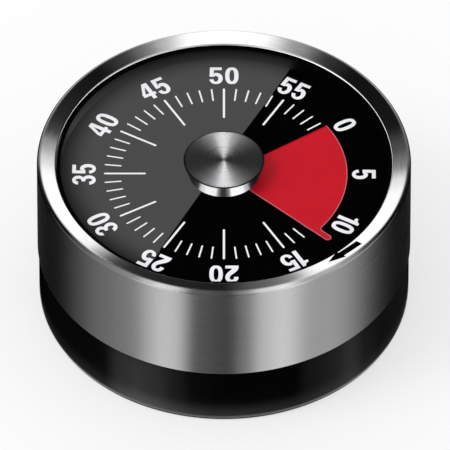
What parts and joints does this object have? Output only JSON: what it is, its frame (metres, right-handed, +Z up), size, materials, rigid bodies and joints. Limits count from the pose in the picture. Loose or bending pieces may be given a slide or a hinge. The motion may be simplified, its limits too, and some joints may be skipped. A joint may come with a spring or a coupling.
{
  "type": "kitchen timer",
  "caption": "Round wind-up kitchen timer with a steel band, black base, recessed minute dial, turned knob and a red film fan that shows the time left.",
  "frame": {"origin": "centre of the base's underside, on the table", "axes": "+Z up through the winding knob, +X to the 5 and +Y to the 50 on the dial"},
  "size_m": [0.08, 0.08, 0.0393],
  "materials": {
    "case_steel": "brushed around, polished rim",
    "base_plastic": "gloss moulded",
    "dial_plastic": "gloss moulded",
    "liner_plastic": "satin moulded",
    "dial_film": "gloss printed film",
    "spring_steel": "blued strip",
    "plain_steel": "plain",
    "bell_steel": "plated",
    "magnet": "pressed ferrite",
    "knob_steel": "turned and polished",
    "brass": "stamped",
    "red_film": "satin film",
    "hub_plastic": "moulded",
    "gear_plastic": "moulded"
  },
  "bodies": {
    "case": {"steel_band": "case_steel", "base_cup": "base_plastic", "dial_plate": "dial_plastic", "rim_liner": "liner_plastic", "dial_film": "dial_film", "mainspring": "spring_steel", "spring_post": "plain_steel", "front_plate": "plain_steel", "rear_plate": "plain_steel", "plate_pillars": "plain_steel", "pillar_screws": "plain_steel", "dial_screws": "plain_steel", "hammer_spring": "spring_steel", "spring_stud": "plain_steel", "bell": "bell_steel", "bell_screw": "plain_steel", "magnets": "magnet", "case_screws": "plain_steel"},
    "winder": {"knob": "knob_steel", "knob_insert": "hub_plastic", "main_arbor": "plain_steel", "great_wheel": "brass", "clutch_washer": "plain_steel", "trip_cam": "brass"},
    "red_fan": {"red_disc": "red_film", "disc_hub": "hub_plastic"},
    "second": {"second_pinion": "plain_steel", "second_wheel": "gear_plastic"},
    "third": {"third_pinion": "plain_steel", "third_wheel": "gear_plastic"},
    "escape": {"escape_pinion": "plain_steel", "escape_wheel": "gear_plastic"},
    "balance": {"balance_arbor": "plain_steel", "pallet_lever": "brass", "pallet_pins": "plain_steel", "balance_wheel": "brass"},
    "hammer": {"hammer_arbor": "plain_steel", "hammer_tail": "plain_steel", "hammer_arm": "plain_steel", "hammer_head": "brass"}
  },
  "joints": [
    {"name": "knob_turn", "type": "hinge", "parent": "case", "child": "winder", "pos_m": [0, 0, 0.03], "axis": [0, 0, -1], "range_deg": [-72.5, 287.5], "deforming": ["mainspring"]},
    {"name": "disc_rise", "type": "slide", "parent": "winder", "child": "red_fan", "axis": [0, 0, 1], "range_m": [-0.0001, 0.0004]},
    {"name": "second_spin", "type": "hinge", "parent": "case", "child": "second", "pos_m": [-0.0162, 0, 0.02], "axis": [0, 0, -1], "continuous": true},
    {"name": "third_spin", "type": "hinge", "parent": "case", "child": "third", "pos_m": [-0.01484, -0.00829, 0.02], "axis": [0, 0, -1], "continuous": true},
    {"name": "escape_spin", "type": "hinge", "parent": "case", "child": "escape", "pos_m": [-0.01031, -0.01536, 0.02], "axis": [0, 0, -1], "continuous": true},
    {"name": "balance_swing", "type": "hinge", "parent": "case", "child": "balance", "pos_m": [-0.00434, -0.01901, 0.02], "axis": [0, 0, 1], "range_deg": [-5, 5]},
    {"name": "hammer_swing", "type": "hinge", "parent": "case", "child": "hammer", "pos_m": [0.01635, 0.00595, 0.02], "axis": [0, 0, 1], "range_deg": [0, 10], "stiffness_Nm_per_rad": 0.002, "springref_deg": -8.59, "deforming": ["hammer_spring"]}
  ],
  "couplings": [
    {"joint": "disc_rise", "follows": "knob_turn", "m_per_rad": 0.000070028},
    {"joint": "second_spin", "follows": "knob_turn", "ratio": -8},
    {"joint": "third_spin", "follows": "knob_turn", "ratio": 48},
    {"joint": "escape_spin", "follows": "knob_turn", "ratio": -288}
  ]
}
